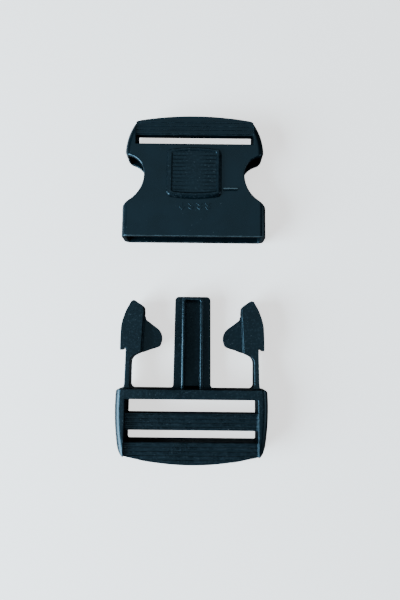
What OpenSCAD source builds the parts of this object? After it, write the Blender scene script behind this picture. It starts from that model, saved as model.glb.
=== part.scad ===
// Side-release buckle for 50 mm webbing, with a sliding lock button, lying open with its two halves apart.
// Millimetres. +Y runs from the plug to the receiver and +Z is up, and the origin is under the middle.

/* [Webbing] */
// Width between the receiver's end caps, which the webbing passes
receiver_slot_w = 51.5; // [50.5:0.5:51.5]
// Open length of the receiver's webbing slot
receiver_slot_l = 4.3; // [4.2:0.1:4.6]
// Width between the plug's side rails
plug_slot_w = 54.4; // [52:0.2:54.6]

/* [Both halves] */
// Thickness of both halves
body_h = 12.4; // [12:0.1:13]
// Radius of the long outer edges
edge_r = 3; // [2.5:0.25:3.5]
// Distance from the plug's front face to the receiver's mouth while apart
apart = 64; // [45:1:80]

/* [Receiver] */
// Width across the mouth
receiver_w = 61.9; // [61.5:0.1:62.5]
// Length from the mouth to the middle of the webbing bar
receiver_l = 54.4; // [54:0.1:55]
// Thickness of the side walls of the mouth
side_wall = 1.85; // [1.6:0.05:2]
// Thickness of the top and bottom plates
plate_t = 2; // [1.8:0.1:2]
// Width across the waist
waist_w = 43.5; // [42:0.5:45]
// Distance from the mouth to the waist
waist_y = 27.7; // [27:0.1:28.5]
// Thickness of the webbing bar
receiver_bar_t = 3.2; // [2.5:0.1:3.5]

/* [Lock button] */
// Width of the button
button_w = 23.6; // [23:0.2:25]
// Length of the button, at its middle
button_l = 22.5; // [21:0.5:23]
// Height of the button's rim above its underside
button_h = 1.6; // [1:0.1:1.8]
// How far the button slides towards the mouth
lock_travel = 2.5; // [1:0.5:3]

/* [Plug] */
// Widest part of the frame
plug_w = 63; // [62.6:0.2:63.6]
// Length of the frame, at its middle
plug_l = 30.2; // [30:0.1:30.6]
// Length of the tongue
tongue_l = 38.9; // [36:0.1:39]
// Width of the tongue
tongue_w = 15.2; // [14:0.2:15.4]
// Height of the tongue's rails above the surface
tongue_top = 8.9; // [8:0.1:9]

/* [Prongs] */
// Length of the prongs
prong_l = 36.9; // [36:0.1:37.2]
// Span over the barbs
barb_span = 60.4; // [60:0.2:60.8]
// Distance from the frame to the catching face of the barbs
barb_y = 16.1; // [15.6:0.1:16.6]
// Thickness of the springy stems
stem_t = 2.1; // [2:0.1:2.4]

/* [Hidden] */
$fn = 48;

// Both halves in one row, from the plug's rear arc to the receiver's bar
total_l = receiver_l + apart + plug_l;
mouth_y = total_l / 2 - receiver_l;
plug_y = plug_l - total_l / 2;
cut = 1;
// How far an arc's chords stand proud of the round surface that trims them
proud = 0.02;

// Receiver: inside, rear and openings
cavity_w = receiver_w - 2 * side_wall;
cavity_l = 39.1;
cavity_r = 1;
rear_wall = 2.2;
slot_y = cavity_l + rear_wall;
bar_y = slot_y + receiver_slot_l;
bar_top = body_h - 1;
bar_arch_r = 141;
shoulder_r = 3.5;
shoulder_slope = 36;
waist_front_r = 14;
waist_rear_r = 8.4;
lobe_x = 30.3;
lobe_corner_r = 2.6;
lobe_side_r = 25.6;
lobe_side_y = 37.5;
lobe_side_end = 30.8;
cap_corner_r = 1.4;
cap_corner = [25.5, receiver_l - 4.5];
guide_x = 8.2;
guide_w = 1.2;
guide_h = 2.4;
guide_y = 5;

// Ribs that grip the webbing or the thumb
rib_w = 0.8;
rib_h = 0.35;
rib_pitch = 1.68;
receiver_bar_ribs = 4;
middle_bar_ribs = 4;
rear_bar_ribs = 5;

// Index ridge beside the button
ridge_x = 12.6;
ridge_l = 6;
ridge_w = 0.7;
ridge_h = 0.9;
ridge_y = 20.7;

// Lock button
button_y = 16.4;
button_sag = 1.2;
button_gap = 0.15;
button_corner_r = 1.6;
panel_margin = 2.2;
panel_depth = 0.6;
panel_ribs = 11;
panel_field_r = 3.6;
post_w = 4.6;
post_l = 4;
post_y = 27;
post_gap = 0.2;
foot_w = 13;
foot_l = 12;
foot_t = 0.9;

// Plug: frame and bars
front_bar = 4;
upper_slot_l = 5.9;
middle_bar = 6.8;
lower_slot_l = 4.5;
frame_front_x = 31;
frame_rear_x = 27.6;
frame_corner_r = 1.6;
rail_bow_r = 95;
rail_bow_y = -7;
rail_end = 9;
frame_rear_corner = [[29.75, -23.6], [29, -25.3], [27.9, -26.6]];
rear_arch_r = 110;
middle_bar_z = [2.6, 9];
rear_bar_top = 10.4;

// Tongue
tongue_z = 2.6;
tongue_flange_top = 6.2;
channel_w = 6.6;
channel_floor = 4.4;
tongue_rail_w = 1.3;
tongue_tip_r = 1.7;
tongue_root_r = 1.6;

// Prongs: heights, outline and the rounded root that they flex about
prong_z = [2.5, 9.9];
wing_top = 6.2;
stem_x = 28;
root_r = 1.6;
root_gap = 0.05;
pivot = [stem_x - stem_t / 2, -0.6];
shoulder_x = 20.6;

function arc(centre, r, from, to, steps = 8) =
    [for (i = [0:steps]) let (a = from + (to - from) * i / steps) centre + r * [cos(a), sin(a)]];
function mirrored(points) =
    concat(points, [for (i = [len(points) - 1:-1:0]) [-points[i][0], points[i][1]]]);
function sag(r, x) = r - sqrt(r * r - x * x);

// Centres of the arcs in the receiver's outline, and the level where its shoulder begins
waist_front_c = [waist_w / 2 + waist_front_r, waist_y];
waist_rear_c = [waist_w / 2 + waist_rear_r, waist_y];
lobe_c = [lobe_x - lobe_corner_r,
          waist_y + sqrt(pow(waist_rear_r + lobe_corner_r, 2)
                         - pow(waist_rear_c[0] - lobe_x + lobe_corner_r, 2))];
slope_end = waist_front_c - waist_front_r * [sin(shoulder_slope), cos(shoulder_slope)];
shoulder_y = slope_end[1] - (receiver_w / 2 - slope_end[0]) * tan(shoulder_slope)
    - shoulder_r * tan((90 - shoulder_slope) / 2);
lobe_side = arc([lobe_x - lobe_side_r, lobe_side_y], lobe_side_r + proud, 4, lobe_side_end, 12);

// Half outline of the receiver from above, from the mouth to the middle of the rear arch
function receiver_half() =
    let (lean = asin((waist_rear_c[0] - lobe_c[0]) / (waist_rear_r + lobe_corner_r)))
    concat(
        [[receiver_w / 2, 0]],
        arc([receiver_w / 2 - shoulder_r, shoulder_y], shoulder_r, 0, 90 - shoulder_slope, 6),
        arc(waist_front_c, waist_front_r, 270 - shoulder_slope, 180, 10),
        arc(waist_rear_c, waist_rear_r, 172, 90 + lean, 9),
        arc(lobe_c, lobe_corner_r, lean - 78, 0, 8),
        lobe_side,
        arc(cap_corner, cap_corner_r, 35, 62, 3),
        [for (x = [24:-3:0]) [x, receiver_l - sag(bar_arch_r, x)]]
    );

// Ring that rounds both edges of a slab along an arc, on the right and on the left. It is solid outwards
// from the radius inner, and is kept between two levels of y
module rounded_rings(centre, r, inner, from, to) {
    for (side = [0, 1])
        mirror([side, 0, 0])
            intersection() {
                translate(centre) rotate_extrude($fn = 120)
                    polygon(concat([[inner, 0]],
                                   arc([r - edge_r, edge_r], edge_r, -90, 0, 10),
                                   arc([r - edge_r, body_h - edge_r], edge_r, 0, 90, 10),
                                   [[inner, body_h]]));
                translate([-cut, from, -cut]) cube([receiver_w, to - from, body_h + 2 * cut]);
            }
}

// Rounded section that runs along Y, standing on z
module long_section(w, z, h, r, from, to) {
    x = w / 2 - r;
    translate([0, to, z]) rotate([90, 0, 0])
        linear_extrude(to - from)
            polygon(mirrored(concat(arc([x, r], r, -90, 0, 12), arc([x, h - r], r, 0, 90, 12))));
}

// Row of ribs along X, the first one centred at y, rooted in a face at height z
module ribs(count, l, y, z) {
    for (i = [0:count - 1])
        translate([-l / 2, y + i * rib_pitch - rib_w / 2, z - 0.2]) cube([l, rib_w, rib_h + 0.2]);
}

module receiver_outer() {
    intersection() {
        linear_extrude(body_h) polygon(mirrored(receiver_half()));
        union() {
            long_section(receiver_w, 0, body_h, edge_r, -cut, waist_y);
            rounded_rings([lobe_x - lobe_side_r, lobe_side_y], lobe_side_r, 0,
                          waist_y - cut, receiver_l + cut);
        }
    }
}

// Two low ribs on each plate that guide the tongue
module tongue_guides() {
    for (side = [-1, 1], z = [plate_t - 0.5, body_h - plate_t - guide_h])
        translate([side * (guide_x + guide_w / 2) - guide_w / 2, guide_y, z])
            cube([guide_w, cavity_l - guide_y + 0.5, guide_h + 0.5]);
}

module receiver_shell() {
    bar_w = receiver_slot_w;
    color([0.05, 0.08, 0.10]) translate([0, mouth_y, 0]) {
        difference() {
            receiver_outer();
            // Cavity, open at the mouth and at the sides of the waist
            long_section(cavity_w, plate_t, body_h - 2 * plate_t, cavity_r, -cut, cavity_l);
            // Webbing slot and the room above and below the thin bar
            translate([-bar_w / 2, slot_y, -cut]) cube([bar_w, receiver_slot_l, body_h + 2 * cut]);
            translate([-bar_w / 2, bar_y - cut, bar_top]) cube([bar_w, receiver_l, body_h]);
            translate([-bar_w / 2, bar_y - cut, -cut])
                cube([bar_w, receiver_l, bar_top - receiver_bar_t + cut]);
            // Way for the button's post
            translate([-post_w / 2 - post_gap, post_y - lock_travel - post_gap, body_h - plate_t - cut])
                cube([post_w + 2 * post_gap, post_l + lock_travel + 2 * post_gap, plate_t + 2 * cut]);
        }
        tongue_guides();
        intersection() {
            ribs(receiver_bar_ribs, receiver_slot_w, bar_y + 0.9, bar_top);
            linear_extrude(body_h) polygon(mirrored(receiver_half()));
        }
        translate([ridge_x, ridge_y - ridge_w / 2, body_h - 0.2]) cube([ridge_l, ridge_w, ridge_h + 0.2]);
    }
}

// Outline with straight sides and two bowed ends
module bowed_pad(w, l, bow, r) {
    end_r = (pow(w / 2 - r, 2) + bow * bow) / (2 * bow);
    ends = [for (x = [w / 2 - r:-(w / 2 - r) / 6:0.01]) [x, l / 2 - sag(end_r, x)]];
    top = concat(arc([w / 2 - r, l / 2 - bow - r], r, 0, 80, 4), ends, [[0, l / 2]]);
    polygon(concat(mirrored(top), [for (p = mirrored(top)) -p]));
}

module lock_button() {
    z = body_h + button_gap;
    panel_w = button_w - 2 * panel_margin;
    panel_l = button_l - 2 * panel_margin + 0.8;
    middle = button_y + button_l / 2;
    color([0.06, 0.09, 0.11]) translate([0, mouth_y, 0]) {
        difference() {
            translate([0, middle, z]) linear_extrude(button_h)
                bowed_pad(button_w, button_l, button_sag, button_corner_r);
            translate([0, middle, z + button_h - panel_depth]) linear_extrude(button_h)
                bowed_pad(panel_w, panel_l, button_sag, 0.9);
        }
        // Thumb ribs, with a plain round field in the middle
        difference() {
            ribs(panel_ribs, panel_w - 2.4, middle - (panel_ribs - 1) / 2 * rib_pitch,
                 z + button_h - panel_depth);
            translate([0, middle, z + button_h - panel_depth]) cylinder(r = panel_field_r, h = rib_h + cut);
        }
        // Hidden post and foot that hold the button to the plate
        translate([-post_w / 2, post_y, body_h - plate_t - button_gap - 0.2])
            cube([post_w, post_l, plate_t + 2 * button_gap + 0.4]);
        translate([-foot_w / 2, post_y + post_l / 2 - foot_l / 2, body_h - plate_t - button_gap - foot_t])
            cube([foot_w, foot_l, foot_t]);
    }
}

// Outer side of a rail, which is bowed
rail_front_l = -rail_bow_y - frame_corner_r;
rail_side = arc([plug_w / 2 - rail_bow_r, rail_bow_y], rail_bow_r + proud,
                asin(rail_front_l / rail_bow_r), -rail_end, 6);

// Half outline of the plug's frame from above, with the front face at 0
function frame_half() =
    let (rear_x = frame_rear_x - 1.2)
    concat(
        [[frame_front_x - frame_corner_r, 0]],
        arc([plug_w / 2 - sag(rail_bow_r, rail_front_l) - frame_corner_r, -frame_corner_r],
            frame_corner_r, 70, 10, 4),
        rail_side,
        frame_rear_corner,
        [for (x = [rear_x:-rear_x / 7:-0.01]) [x, -plug_l + sag(rear_arch_r, x)]]
    );

module frame_body() {
    slot_w = plug_slot_w;
    upper_y = -front_bar - upper_slot_l;
    middle_y = upper_y - middle_bar;
    rear_y = middle_y - lower_slot_l;
    difference() {
        intersection() {
            linear_extrude(body_h) polygon(mirrored(frame_half()));
            rounded_rings([plug_w / 2 - rail_bow_r, rail_bow_y], rail_bow_r,
                          rail_bow_r - plug_w / 2 - 2 * cut, -plug_l - cut, cut);
        }
        translate([-slot_w / 2, upper_y, -cut]) cube([slot_w, upper_slot_l, body_h + 2 * cut]);
        translate([-slot_w / 2, rear_y, -cut]) cube([slot_w, lower_slot_l, body_h + 2 * cut]);
        // The middle bar is thin and set in from both faces, and the rear bar is set in from the top
        translate([-slot_w / 2, middle_y - cut, middle_bar_z[1]])
            cube([slot_w, middle_bar + 2 * cut, body_h]);
        translate([-slot_w / 2, middle_y - cut, -cut])
            cube([slot_w, middle_bar + 2 * cut, middle_bar_z[0] + cut]);
        translate([-slot_w / 2, -plug_l - cut, rear_bar_top])
            cube([slot_w, rear_y + plug_l + 2 * cut, body_h]);
        // Sockets for the prongs' roots
        for (side = [-1, 1])
            translate([side * pivot[0], pivot[1], prong_z[0] - 0.1])
                cylinder(r = root_r + root_gap, h = prong_z[1] - prong_z[0] + 0.2);
    }
    intersection() {
        union() {
            ribs(middle_bar_ribs, slot_w, middle_y + 0.9, middle_bar_z[1]);
            ribs(rear_bar_ribs, slot_w, rear_y - 0.6 - (rear_bar_ribs - 1) * rib_pitch, rear_bar_top);
        }
        linear_extrude(body_h) polygon(mirrored(frame_half()));
    }
}

module tongue_outline(w, l, tip_r, root_w) {
    polygon(mirrored(concat(
        [[root_w / 2, -1], [root_w / 2, 0]],
        arc([w / 2 + 0.3 + tongue_root_r, tongue_root_r], tongue_root_r, 265, 180, 6),
        arc([w / 2 - tip_r, l - tip_r], tip_r, 0, 82, 6))));
}

module tongue() {
    rail_half = channel_w / 2 + tongue_rail_w;
    translate([0, 0, tongue_z]) linear_extrude(tongue_flange_top - tongue_z)
        difference() {
            tongue_outline(tongue_w, tongue_l, tongue_tip_r, tongue_w + 4);
            // Its root ends inside the front bar
            translate([-plug_w / 2, -plug_l - front_bar / 2]) square([plug_w, plug_l]);
        }
    // Raised rails that run round the channel's end
    translate([0, 0, tongue_flange_top - 0.3]) linear_extrude(tongue_top - tongue_flange_top + 0.3)
        polygon(mirrored(concat([[rail_half, -0.9]],
            arc([rail_half - 1.2, tongue_l - 1.5], 1.2, 0, 85, 5))));
}

module tongue_channel() {
    translate([0, 0, channel_floor]) linear_extrude(body_h)
        polygon(mirrored(concat([[channel_w / 2, -0.5]],
            arc([channel_w / 2 - 1, tongue_l - 2.6], 1, 0, 85, 5))));
}

module plug_frame() {
    color([0.05, 0.08, 0.10]) translate([0, plug_y, 0]) {
        frame_body();
        difference() {
            tongue();
            tongue_channel();
        }
    }
}

// Outline of the right prong from above, in plug coordinates, without its inner wing
function prong_outline() =
    let (
        outer = barb_span / 2,
        inner_x = stem_x - stem_t
    )
    concat(
        [[stem_x + 0.35, 0.35], [stem_x, 2.4], [stem_x - 0.2, barb_y + 0.9]],
        [[outer - 0.1, barb_y - 0.3], [outer, barb_y + 0.4], [outer, barb_y + 5], [outer - 0.2, 25.9]],
        [[outer - 0.6, 28], [outer - 1.2, 30], [outer - 2.05, 32.4]],
        [[outer - 2.75, 33.8], [outer - 3.6, 35.3]],
        arc([24.95, prong_l - 1.35], 1.35, 25, 125, 5),
        arc([22.9, 33.2], 2.2, 130, 185, 5),
        [[shoulder_x, 31.8], [shoulder_x + 0.35, 28.8], [shoulder_x + 0.9, 15]],
        arc([22.4, 10.7], inner_x - 22.4, 70, 0, 6),
        [[inner_x, 2], [inner_x - 0.2, 1], [inner_x - 0.5, 0.35]]
    );

// Thin inner wing, set lower than the arrowhead
function wing_outline() =
    concat(
        [[shoulder_x + 1, 30.8], [shoulder_x - 0.15, 30.4], [20.26, 29.2]],
        [[19.6, 28.6], [18.65, 27.9], [16.95, 26.6]],
        arc([18.65, 20.9], 5.6, 128, 203, 7),
        arc([15.3, 18.9], 1.8, 190, 255, 4),
        [[16.4, 16.6], [18, 16.15], [shoulder_x + 0.4, 15], [shoulder_x + 1.2, 15]]
    );

module prong() {
    linear_z = prong_z[1] - prong_z[0];
    translate([0, 0, prong_z[0]]) linear_extrude(linear_z) polygon(prong_outline());
    translate([0, 0, prong_z[0]]) linear_extrude(wing_top - prong_z[0]) polygon(wing_outline());
    // Rounded root in the frame's socket, with the neck that joins it to the stem
    translate([pivot[0], pivot[1], prong_z[0]]) cylinder(r = root_r, h = linear_z);
    translate([pivot[0] - 1, pivot[1], prong_z[0]]) cube([2, 1.4, linear_z]);
}

module right_prong() {
    color([0.05, 0.08, 0.10]) translate([0, plug_y, 0]) prong();
}

module left_prong() {
    color([0.05, 0.08, 0.10]) translate([0, plug_y, 0]) mirror([1, 0, 0]) prong();
}

receiver_shell();
lock_button();
plug_frame();
left_prong();
right_prong();
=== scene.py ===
"""Open side-release buckle for 50 mm webbing: the receiver with its lock button, and the plug below it."""
import math

import bmesh
import bpy
from mathutils import Matrix, Vector
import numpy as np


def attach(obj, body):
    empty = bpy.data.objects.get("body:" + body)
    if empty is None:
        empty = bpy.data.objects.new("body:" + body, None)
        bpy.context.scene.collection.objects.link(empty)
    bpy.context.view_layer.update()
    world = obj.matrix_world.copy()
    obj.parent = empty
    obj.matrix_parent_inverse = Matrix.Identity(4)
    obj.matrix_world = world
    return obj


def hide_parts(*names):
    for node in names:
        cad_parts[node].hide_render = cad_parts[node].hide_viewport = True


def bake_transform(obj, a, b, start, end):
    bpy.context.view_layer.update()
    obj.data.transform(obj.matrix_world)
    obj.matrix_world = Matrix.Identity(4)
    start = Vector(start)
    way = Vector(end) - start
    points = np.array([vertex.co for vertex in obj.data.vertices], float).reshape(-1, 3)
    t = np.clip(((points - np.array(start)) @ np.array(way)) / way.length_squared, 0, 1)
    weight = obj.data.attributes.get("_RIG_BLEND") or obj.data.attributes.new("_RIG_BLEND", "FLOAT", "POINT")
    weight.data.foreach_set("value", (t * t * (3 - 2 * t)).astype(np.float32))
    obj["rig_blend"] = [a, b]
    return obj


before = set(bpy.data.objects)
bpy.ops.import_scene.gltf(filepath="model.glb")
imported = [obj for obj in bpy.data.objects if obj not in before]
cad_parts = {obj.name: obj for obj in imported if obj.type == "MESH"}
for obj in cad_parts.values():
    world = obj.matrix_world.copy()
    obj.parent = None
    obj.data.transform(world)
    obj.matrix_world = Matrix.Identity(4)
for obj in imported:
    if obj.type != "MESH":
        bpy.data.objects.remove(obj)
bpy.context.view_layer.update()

MM = 0.001

# The buckle's main levels and pitches, in millimetres
MOUTH_Y = 19.9
PLUG_Y = -44.1
PLATE_Z = 12.4
BUTTON_MIDDLE = MOUTH_Y + 16.4 + 11.25
BUTTON_TOP = 14.15
MARK_Y = MOUTH_Y + 13.1
STEM_X = 26.95
PRONG_MIDDLE_Z = 6.2
MIDDLE_BAR_RIB_Y = -54.86
REAR_BAR_RIB_Y = -65.9
RIB_PITCH = 1.68
RIB_HALF_WIDTH = 0.4

# How the solids are taken over: corners closer than MERGE are one, faces that turn by less than FLAT are
# one face, and edges that turn by more than SHARP are rounded
MERGE = 0.03 * MM
ON_LINE = 0.01 * MM
FLAT = math.radians(0.6)
SHARP = math.radians(48)
SMOOTH_BELOW = math.radians(42)
ROUNDING_STEPS = 3

# The plastic's roughness, the colours of what lies on it, and the colour of a painted highlight
ROUGHNESS = 0.29
FILM = (0.0085, 0.0150, 0.0200, 1)
SCUFF = (0.035, 0.055, 0.070, 1)
PAINTED_HIGHLIGHT = (0.10, 0.14, 0.155, 1)
FINE_SPECK = (0.045, 0.060, 0.070, 1)
PALE_SPECK = (0.22, 0.26, 0.29, 1)

# The camera's focal length and the picture's height, in pixels, and the height of its sensor in millimetres
FOCAL_PIXELS = 433
PICTURE_PIXELS = 600
SENSOR = 36


class Wire:
    """A socket that sums, products and powers can be written with."""

    def __init__(self, nodes, socket):
        self.nodes = nodes
        self.socket = socket

    def maths(self, operation, *values):
        return self.nodes.add("ShaderNodeMath", {"operation": operation}, *values)

    def __add__(self, other):
        return self.maths("ADD", self, other)

    def __sub__(self, other):
        return self.maths("SUBTRACT", self, other)

    def __rsub__(self, other):
        return self.maths("SUBTRACT", other, self)

    def __mul__(self, other):
        return self.maths("MULTIPLY", self, other)

    __radd__ = __add__
    __rmul__ = __mul__

    def away_from(self, value):
        return self.maths("ABSOLUTE", self - value)

    def between(self, low, high):
        """0 below low, 1 above high, and smooth from one to the other."""
        return self.nodes.add("ShaderNodeMapRange", {"interpolation_type": "SMOOTHSTEP"}, self, low, high)


class Finish:
    """A material, with its nodes added through one method."""

    def __init__(self, name, **constants):
        self.material = bpy.data.materials.new(name)
        self.material.use_nodes = True
        self.tree = self.material.node_tree
        self.tree.nodes.clear()
        self.shader = self.tree.nodes.new("ShaderNodeBsdfPrincipled")
        output = self.tree.nodes.new("ShaderNodeOutputMaterial")
        self.tree.links.new(self.shader.outputs["BSDF"], output.inputs["Surface"])
        for socket, value in constants.items():
            self.shader.inputs[socket.replace("_", " ")].default_value = value

    def put(self, socket, value):
        """Links the socket to a wire, or sets it to a constant."""
        if isinstance(value, Wire):
            self.tree.links.new(value.socket, socket)
        else:
            socket.default_value = value

    def add(self, kind, settings=None, *values, out=0, **named):
        """Adds a node with these settings and inputs, and gives one of its outputs."""
        node = self.tree.nodes.new(kind)
        for key, value in (settings or {}).items():
            setattr(node, key, value)
        for where, value in [*enumerate(values), *named.items()]:
            self.put(node.inputs[where if isinstance(where, int) else where.replace("_", " ")], value)
        return Wire(self, node.outputs[out])

    def feed(self, **wires):
        """Links the shader's sockets to these wires."""
        for socket, wire in wires.items():
            self.put(self.shader.inputs[socket.replace("_", " ")], wire)

    def mix(self, share, first, second):
        """Blends two colours by the share of the second."""
        blend = self.add("ShaderNodeMix", {"data_type": "RGBA"}, out=2)
        inputs = blend.socket.node.inputs
        for socket, value in zip((inputs[0], inputs[6], inputs[7]), (share, first, second)):
            self.put(socket, value)
        return blend


def moulded_plastic(name, colour, shine, dust):
    """Near-black moulded plastic with fine grain, worn edges, a painted highlight where the wear value
    passes 1, a parting line at mid height, and dust.
    """
    dark, light = [(*[c * share for c in colour], 1) for share in (0.7, 1.35)]
    finish = Finish(name, Specular_IOR_Level=shine, Base_Color=(*colour, 1), IOR=1.5,
                    Specular_Tint=(0.42, 0.76, 1.0, 1))
    place = finish.add("ShaderNodeTexCoord", out=3)
    height = finish.add("ShaderNodeSeparateXYZ", None, place, out=2)

    def noise(scale, detail, **more):
        return finish.add("ShaderNodeTexNoise", None, Vector=place, Scale=scale, Detail=detail, **more)

    cloudy = noise(85.0, 3.0)
    grain = noise(1900.0, 2.0)
    scuffs = noise(420.0, 3.0, Roughness=0.65)
    film = noise(1100.0, 3.0, Roughness=0.7)
    edge = finish.add("ShaderNodeAttribute", {"attribute_name": "wear_and_highlight"}, out=2)
    worn = edge * scuffs.between(0.40, 0.66)

    def specks(scale, reach, share):
        """Small ragged specks, one in each cell that the share draws."""
        away = finish.add("ShaderNodeTexVoronoi", None, Vector=place, Scale=scale)
        draw = finish.add("ShaderNodeTexVoronoi", None, Vector=place, Scale=scale, out=1)
        chosen = finish.add("ShaderNodeSeparateColor", None, draw)
        outside = (away + (grain - 0.5) * reach).between(reach * 0.6, reach)
        return (1 - outside) * chosen.between(1 - share, 1)

    tone = finish.mix(cloudy.between(0.3, 0.7), dark, light)
    tone = finish.mix(film.between(0.50, 0.68) * dust, tone, FILM)
    tone = finish.mix(worn * 0.6, tone, SCUFF)
    # Painted highlight: where the wear value passes 1 the colour turns pale, to stand for a bright line of
    # light
    tone = finish.mix(edge - 1, tone, PAINTED_HIGHLIGHT)
    tone = finish.mix(specks(1300.0, 0.26, 0.26 * dust), tone, FINE_SPECK)
    tone = finish.mix(specks(300.0, 0.06, 0.28 * dust), tone, PALE_SPECK)
    finish.feed(Base_Color=tone)
    finish.feed(Roughness=(cloudy - 0.5) * 0.10 + (grain - 0.5) * 0.10 - edge * 0.06 + ROUGHNESS)
    seam = 1 - (height.away_from(PRONG_MIDDLE_Z * MM)).between(0.03 * MM, 0.10 * MM)
    line = finish.add("ShaderNodeBump", None, Strength=0.6, Distance=0.05 * MM, Height=seam)
    bump = finish.add("ShaderNodeBump", None, Strength=0.35, Distance=0.03 * MM, Height=grain, Normal=line)
    finish.feed(Normal=bump)
    return finish.material


def solid_copy(node, across=(), along=()):
    """The node's solid, its triangles merged back into flat faces, which are then parted at these lines."""
    shape = bmesh.new()
    shape.from_mesh(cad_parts[node].data)
    bmesh.ops.remove_doubles(shape, verts=shape.verts, dist=MERGE)
    bmesh.ops.dissolve_limit(shape, angle_limit=FLAT, use_dissolve_boundaries=False,
                             verts=shape.verts, edges=shape.edges)
    lines = [(Vector((0, y * MM, 0)), Vector((0, 1, 0))) for y in across]
    lines += [(Vector((x * MM, 0, 0)), Vector((1, 0, 0))) for x in along]
    for middle, direction in lines:
        bmesh.ops.bisect_plane(shape, geom=shape.verts[:] + shape.edges[:] + shape.faces[:], dist=ON_LINE,
                               plane_co=middle, plane_no=direction)
    return shape


def rounded(shape, *widths):
    """Rounds each sharp edge by the first width whose test its middle passes, and marks where it wears."""
    weight = shape.edges.layers.float.new("bevel_weight_edge")
    for edge in shape.edges:
        if edge.calc_face_angle(0) > SHARP:
            middle = (edge.verts[0].co + edge.verts[1].co) / 2 / MM
            edge[weight] = next(width for width, test in widths if test is None or test(middle))
    draft = bpy.data.meshes.new("draft")
    shape.to_mesh(draft)
    shape.free()
    draft.materials.append(None)
    draft.materials.append(None)
    holder = bpy.data.objects.new("draft", draft)
    bpy.context.scene.collection.objects.link(holder)
    bevel = holder.modifiers.new("rims", "BEVEL")
    bevel.limit_method = "WEIGHT"
    bevel.width = MM
    bevel.segments = ROUNDING_STEPS
    bevel.use_clamp_overlap = False
    bevel.material = 1
    finished = bpy.data.meshes.new_from_object(holder.evaluated_get(bpy.context.evaluated_depsgraph_get()))
    bpy.data.objects.remove(holder)
    shape = bmesh.new()
    shape.from_mesh(finished)
    wear_and_highlight = shape.verts.layers.float.new("wear_and_highlight")
    for vert in shape.verts:
        turns = [edge.calc_face_angle_signed(0) for edge in vert.link_edges]
        vert[wear_and_highlight] = float(sum(turns) > 0.1 and all(face.material_index == 1 for face in vert.link_faces))
    for face in shape.faces:
        face.material_index = 0
    return shape


def placed(name, shape, material):
    """Turns the shape into an object of the scene."""
    mesh = bpy.data.meshes.new(name)
    shape.to_mesh(mesh)
    shape.free()
    mesh.materials.append(material)
    made = bpy.data.objects.new(name, mesh)
    bpy.context.scene.collection.objects.link(made)
    return made


def piece(name, shape, body, slot, finish, *nodes):
    """Turns the shape into an object that rides on its body in place of the nodes."""
    for face in shape.faces:
        face.smooth = True
    made = placed(name, shape, finish)
    made.data.set_sharp_from_angle(angle=SMOOTH_BELOW)
    normals = made.modifiers.new("flat faces", "WEIGHTED_NORMAL")
    normals.keep_sharp = True
    if body:
        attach(made, body)
    if nodes:
        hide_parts(*nodes)
    return made


def bar(shape, size, place, turn=0.0):
    """Adds a block of this size, turned about Z, with its middle at the place."""
    spot = Matrix.Translation(Vector(place) * MM) @ Matrix.Rotation(turn, 4, "Z")
    bmesh.ops.create_cube(shape, size=1, matrix=spot @ Matrix.Diagonal((*[s * MM for s in size], 1)))


def next_ring(shape, rim):
    """Extrudes the open rim, and gives the edges and the corners of the new one."""
    grown = bmesh.ops.extrude_edge_only(shape, edges=rim)["geom"]
    verts = [item for item in grown if isinstance(item, bmesh.types.BMVert)]
    edges = [item for item in grown if isinstance(item, bmesh.types.BMEdge)
             and all(vert in grown for vert in item.verts)]
    return edges, verts


def hidden_post():
    """The post and foot that hold the button to the plate from inside."""
    shape = bmesh.new()
    bar(shape, (4.6, 4, 2.7), (0, MOUTH_Y + 29, 11.4))
    bar(shape, (13, 12, 0.9), (0, MOUTH_Y + 29, 9.8))
    return rounded(shape, (0.2, None))


def eased(value, low, high):
    """0 below low, 1 above high, and smooth from one to the other."""
    share = min(1, max(0, (value - low) / (high - low)))
    return share * share * (3 - 2 * share)


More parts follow.
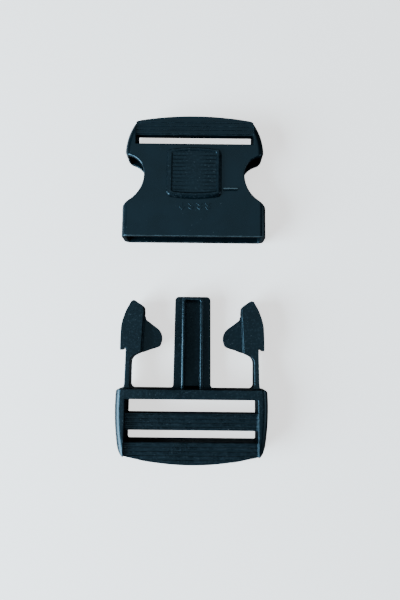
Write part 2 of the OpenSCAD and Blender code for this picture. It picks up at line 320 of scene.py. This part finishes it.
def lock_pad():
    """The thumb pad: a bowed block with a crowned rim round its sunk ribbed panel, on its post and foot."""
    half, reach, bow, corner, rise = 11.8, 11.25, 1.2, 1.5, 1.6
    near_crown, crown, far_crown, deepest_crown = 0.45, 0.6, 1.7, 1.45
    left_rim, right_rim, front_rim, back_rim, panel_corner = 2.0, 1.85, 1.8, 1.15, 0.9
    sink, rib, first_rib = 0.40, 0.12, 0.35
    cells = 0.2 * MM
    shape = hidden_post()
    wear_and_highlight = shape.verts.layers.float["wear_and_highlight"]
    pad = bmesh.ops.create_grid(shape, x_segments=round(2 * half * MM / cells),
                                y_segments=round(2 * reach * MM / cells), size=0.5)["verts"]
    for vert in pad:
        x = 2 * vert.co.x * half
        end = reach - bow * (x / half) ** 2
        y = 2 * vert.co.y * end
        turn_x, turn_y = abs(x) - (half - corner), abs(y) - (end - corner)
        inset = min(half - abs(x), end - abs(y))

        # The rim's radius, which changes from the side's to the end's round each corner
        side_crown, end_crown = near_crown if x < 0 else far_crown, crown if y > 0 else far_crown
        towards_end = min(1, max(0, turn_y) ** 2 / max(0.01, max(0, turn_x) ** 2 + max(0, turn_y) ** 2))
        radius = side_crown + (end_crown - side_crown) * towards_end
        if x < 0 and y < 0:
            radius += 1.4 * towards_end * (1 - towards_end)

        # The outline's corners, which are round
        if turn_x > 0 and turn_y > 0:
            pull = 1 - max(turn_x, turn_y) / math.hypot(turn_x, turn_y)
            x -= math.copysign(turn_x * pull, x)
            y -= math.copysign(turn_y * pull, y)

        # The height: the crowned rim, the sunk panel, and its ribs, which fade in the middle
        z = (math.sqrt(1 - max(0, 1 - inset / radius) ** 2) - 1) * min(radius, deepest_crown)
        side = min(half + x - left_rim, half - x - right_rim)
        close = min(end + y - front_rim, end - y - back_rim)
        lip = min(side, close)
        if side < panel_corner and close < panel_corner:
            lip = panel_corner - math.hypot(panel_corner - side, panel_corner - close)
        wave = (0.5 + 0.5 * math.cos(2 * math.pi * (y - first_rib) / RIB_PITCH)) ** 1.5
        strength = 0.25 + 0.75 * eased(abs(x), 0.6, 6.2)
        z -= eased(lip, 0, 0.55) * sink
        z += rib * wave * strength * eased(lip, 0.35, 0.8)
        vert.co = (x * MM, (y + BUTTON_MIDDLE) * MM, (BUTTON_TOP + z) * MM)
        vert[wear_and_highlight] = 0.15 * eased(inset, 0.05, 0.3) * (1 - eased(inset, 0.6, 1.1))
    edges = {edge for vert in pad for edge in vert.link_edges if len(edge.link_faces) == 1}
    rim, wall = next_ring(shape, list(edges))
    for vert in wall:
        vert.co.z = (BUTTON_TOP - rise) * MM
    bmesh.ops.holes_fill(shape, edges=rim)
    bmesh.ops.recalc_face_normals(shape, faces=shape.faces)
    return shape


def slide_mark():
    """A plain raised arrow and chevrons below the button, which point the way it slides to lock."""
    stroke, height, arm = 0.46, 0.24, 1.7
    shape = bmesh.new()
    bar(shape, (stroke, 3.0, height), (-4.9, MARK_Y, PLATE_Z - 0.02))
    chevrons = [(x, offset) for x in (-1.1, 2.5, 6.1) for offset in (0.75, -0.85)]
    for x, offset in ((-4.9, -0.85), *chevrons):
        for way in (-1, 1):
            bar(shape, (stroke, arm, height), (x + way * 0.58, MARK_Y + offset, PLATE_Z),
                turn=way * math.radians(-44))
    return rounded(shape, (0.1, None))


def spring_prong(node, side):
    """The barbed prong, its stem parted into short lengths that bend, and a flared root on the frame."""
    inner, outer = 1.0, 0.35
    flares = ((1.7, 0.04), (1.35, 0.14), (1.0, 0.32), (0.65, 0.60),
              (0.35, 0.96), (0.12, 1.35), (-0.05, 1.75), (-0.3, 1.8))
    shape = solid_copy(node, across=[PLUG_Y + y for y in (3.2, 4.6, 6.0, 7.4, 8.8, 10.2)])
    everything = shape.verts[:] + shape.edges[:] + shape.faces[:]
    bmesh.ops.bisect_plane(shape, geom=everything, dist=ON_LINE, plane_co=(0, (PLUG_Y + 2) * MM, 0),
                           plane_no=(0, 1, 0), clear_inner=True)
    rim = [edge for edge in shape.edges if len(edge.link_faces) == 1]
    middle = Vector((side * STEM_X * MM, 0, PRONG_MIDDLE_Z * MM))
    spread = 0
    for y, flare in flares:
        rim, ring = next_ring(shape, rim)
        for vert in ring:
            vert.co.y = (PLUG_Y + y) * MM
            share = inner if (vert.co.x - middle.x) * side < 0 else outer
            vert.co.x += math.copysign(share * (flare - spread) * MM, vert.co.x - middle.x)
            vert.co.z += math.copysign(outer * (flare - spread) * MM, vert.co.z - middle.z)
        spread = flare
    bmesh.ops.holes_fill(shape, edges=rim)
    bmesh.ops.recalc_face_normals(shape, faces=shape.faces)

    # In order: the wing's top edges, the flare's last ring, and the rest
    return rounded(
        shape,
        (0.12, lambda p: 6 < p.z < 6.4),
        (0, lambda p: p.y < PLUG_Y + 0.1),
        (0.3, None),
    )


def on_rib_side(y):
    """Whether a long side of a rib on the plug's bars lies at this y."""
    first = MIDDLE_BAR_RIB_Y if y > -62 else REAR_BAR_RIB_Y
    from_rib = abs((y - first + RIB_PITCH / 2) % RIB_PITCH - RIB_PITCH / 2)
    return abs(from_rib - RIB_HALF_WIDTH) < 0.03


def pale_ground():
    """A floor that curves up to a wall all round, so that no view looks past it."""
    flat, curve, wall, steps = 1.1, 0.4, 1.6, 8
    shape = bmesh.new()
    bmesh.ops.create_circle(shape, cap_ends=True, segments=96, radius=flat)
    rim = [edge for edge in shape.edges if len(edge.link_faces) == 1]
    for step in range(1, steps + 2):
        turn = min(1, step / steps) * math.pi / 2
        radius = flat + curve * math.sin(turn)
        height = curve * (1 - math.cos(turn)) + (wall if step > steps else 0)
        rim, ring = next_ring(shape, rim)
        for vert in ring:
            vert.co = Vector((*(vert.co.xy.normalized() * radius), height))
    for face in shape.faces:
        face.smooth = True
    return shape


def studio():
    """A plain pale floor, a soft box overhead, a window, a fill, and what only shows in reflections."""
    pale = Finish("pale floor", Base_Color=(0.80, 0.80, 0.80, 1), Roughness=0.8, Specular_IOR_Level=0.1,
                  Emission_Color=(1.0, 1.0, 1.0, 1), Emission_Strength=1.4)
    floor = placed("floor", pale_ground(), pale.material)
    floor.visible_glossy = False
    floor.visible_diffuse = False

    # The slots' walls mirror a dark floor and the left rims a pale one; the card stands for the dark camera
    unseen = []
    for name, size, place, tone in (
        ("floor in reflections", (2000, 2000, 0.01), (0, 0, 0.02), 0.05),
        ("left floor in reflections", (966, 2000, 0.01), (-517, 0, 0.04), 0.60),
        ("dark card", (46, 92, 1), (-3, -20, 198), 0.01),
    ):
        sheet = bmesh.new()
        bar(sheet, size, place)
        matt = Finish(name, Base_Color=(tone, tone, tone, 1), Roughness=0.9)
        unseen.append(placed(name, sheet, matt.material))
        unseen[-1].visible_camera = False
    *sheets, card = unseen
    for sheet in sheets:
        sheet.visible_diffuse = False
        sheet.visible_shadow = False

    world = bpy.data.worlds.new("room")
    world.use_nodes = True
    sky = world.node_tree.nodes["Background"]
    sky.inputs["Color"].default_value = (0.90, 0.96, 1.0, 1)
    sky.inputs["Strength"].default_value = 0.03
    bpy.context.scene.world = world

    for name, place, size, power, colour in (
        ("window", (-0.60, -0.25, 0.32), (0.55, 0.45), 20.0, (0.68, 0.88, 1.0)),
        ("fill", (0.70, 0.0, 0.25), (0.50, 0.40), 1.0, (0.85, 0.94, 1.0)),
        ("soft box", (-0.05, 0.16, 0.90), (0.95, 1.10), 2.5, (0.90, 0.97, 1.0)),
    ):
        light = bpy.data.lights.new(name, "AREA")
        light.shape = "RECTANGLE"
        light.size, light.size_y = size
        light.energy = power
        light.color = colour
        lamp = bpy.data.objects.new(name, light)
        lamp.location = place
        lamp.rotation_euler = (-Vector(place)).to_track_quat("-Z", "Y").to_euler()
        bpy.context.scene.collection.objects.link(lamp)


def camera():
    """Looks down at the open buckle, tilted a little towards the receiver, as the photograph does."""
    lens = bpy.data.cameras.new("camera")
    lens.sensor_fit = "VERTICAL"
    lens.sensor_height = SENSOR
    lens.lens = SENSOR * FOCAL_PIXELS / PICTURE_PIXELS
    lens.clip_start = 0.005
    eye = bpy.data.objects.new("camera", lens)
    tilt, lean = math.radians(6.6), math.radians(0.6)
    back = Vector((0, -math.sin(tilt), math.cos(tilt)))
    up = Matrix.Rotation(lean, 3, back) @ Vector((0, math.cos(tilt), math.sin(tilt)))
    turn = Matrix((up.cross(back), up, back)).transposed()
    eye.matrix_world = Matrix.Translation((3.05 * MM, -28.0 * MM, 191.5 * MM)) @ turn.to_4x4()
    bpy.context.scene.collection.objects.link(eye)
    bpy.context.scene.camera = eye


receiver_plastic = moulded_plastic("receiver plastic", (0.0014, 0.0040, 0.0060), 0.50, 0.08)
button_plastic = moulded_plastic("button plastic", (0.0013, 0.0036, 0.0054), 0.45, 0.8)
plug_plastic = moulded_plastic("plug plastic", (0.0012, 0.0034, 0.0050), 0.45, 1.0)

# In order: end caps' rear tips, inner rear wall, bar's ribs, end caps beside the bar, index line,
# tongue guides, waist and lobes, side pockets, the plate's other edges, and the rest
receiver = rounded(
    solid_copy("receiver_shell", across=(45.2, 59.5, 64.9), along=(-19.5, -14.5, 14.5, 19.5)),
    (0, lambda p: p.y > 70.2 and abs(p.x) > 25.8),
    (0, lambda p: abs(p.y - 59) < 0.3 and 1.9 < p.z < 10.5),
    (0.12, lambda p: p.z > 11.2 and p.y > 65.4 and abs(p.x) < 25.8),
    (0.15, lambda p: p.z > 10 and p.y > 61 and 25.3 < abs(p.x) < 26.2),
    (0.1, lambda p: p.z > 12.3 and 39 < p.y < 42 and 11 < p.x < 19),
    (0.2, lambda p: 2.5 < p.z < 10.1 and abs(p.x) < 12),
    (0.6, lambda p: 24 < p.y < 60 and (p.z > 11.2 or p.z < 1.2 or abs(p.x) > 29.4)),
    (0.2, lambda p: 24 < p.y < 60 and abs(p.x) > 20),
    (0.45, lambda p: p.z > 10.2),
    (0.3, None),
)

# Wear above 1 is a painted highlight: a pale colour on the index line's top at its rear, and on the mouth's
# upper front edge
wear_and_highlight = receiver.verts.layers.float["wear_and_highlight"]
for vert in receiver.verts:
    x, y, z = vert.co / MM
    if z > 12.55 and 12.3 < x < 19 and 39 < y < 42:
        vert[wear_and_highlight] = 2 if y > 40.6 else 0.6
    elif vert[wear_and_highlight] and y < MOUTH_Y + 0.4 and z > 11.9:
        vert[wear_and_highlight] = 1.35
piece("receiver_moulding", receiver, "receiver", "receiver_plastic", receiver_plastic, "receiver_shell")

piece("slide_mark", slide_mark(), "receiver", "receiver_plastic", receiver_plastic)
piece("lock_pad", lock_pad(), "button", "button_plastic", button_plastic, "lock_button")

# In order: the ribs' tops, their feet, the bars' own edges, the tongue's root, its rails' outer top edges
# and front ends, their inner top edges, its flanges, and the rest
plug = rounded(
    solid_copy("plug_frame", across=(-64.5, -62.9, -46.1, -42.4, -9.4), along=(-22.5, -14.5, 14.5, 22.5)),
    (0.28, lambda p: abs(p.x) < 27 and p.y < -50 and (9.2 < p.z < 9.5 or 10.6 < p.z < 10.9)
     and on_rib_side(p.y)),
    (0.05, lambda p: abs(p.x) < 27 and p.y < -50 and (8.9 < p.z < 9.1 or 10.3 < p.z < 10.5)
     and on_rib_side(p.y)),
    (0.12, lambda p: abs(p.x) < 27 and p.y < -50 and (8.9 < p.z < 9.5 or 10.3 < p.z < 10.9)),
    (0, lambda p: -44.2 < p.y < -43.95 and abs(p.x) < 10.5 and 2.5 < p.z < 9),
    (0.75, lambda p: 8.7 < p.z < 9.1 and abs(p.x) < 5 and -44 < p.y and (abs(p.x) > 3.9 or p.y > -6.2)),
    (0.38, lambda p: 8.7 < p.z < 9.1 and abs(p.x) < 3.9 and -44 < p.y),
    (0.12, lambda p: 6 < p.z < 6.4 and abs(p.x) < 10),
    (0.3, None),
)
piece("plug_moulding", plug, "plug", "plug_plastic", plug_plastic, "plug_frame")

for word, side in (("left", -1), ("right", 1)):
    prong = spring_prong(f"{word}_prong", side)
    prong = piece(f"{word}_spring_prong", prong, None, "plug_plastic", plug_plastic, f"{word}_prong")
    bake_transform(prong, "plug", f"prong_{word}",
             start=(side * STEM_X * MM, (PLUG_Y - 0.3) * MM, PRONG_MIDDLE_Z * MM),
             end=(side * STEM_X * MM, (PLUG_Y + 11) * MM, PRONG_MIDDLE_Z * MM))

studio()
camera()
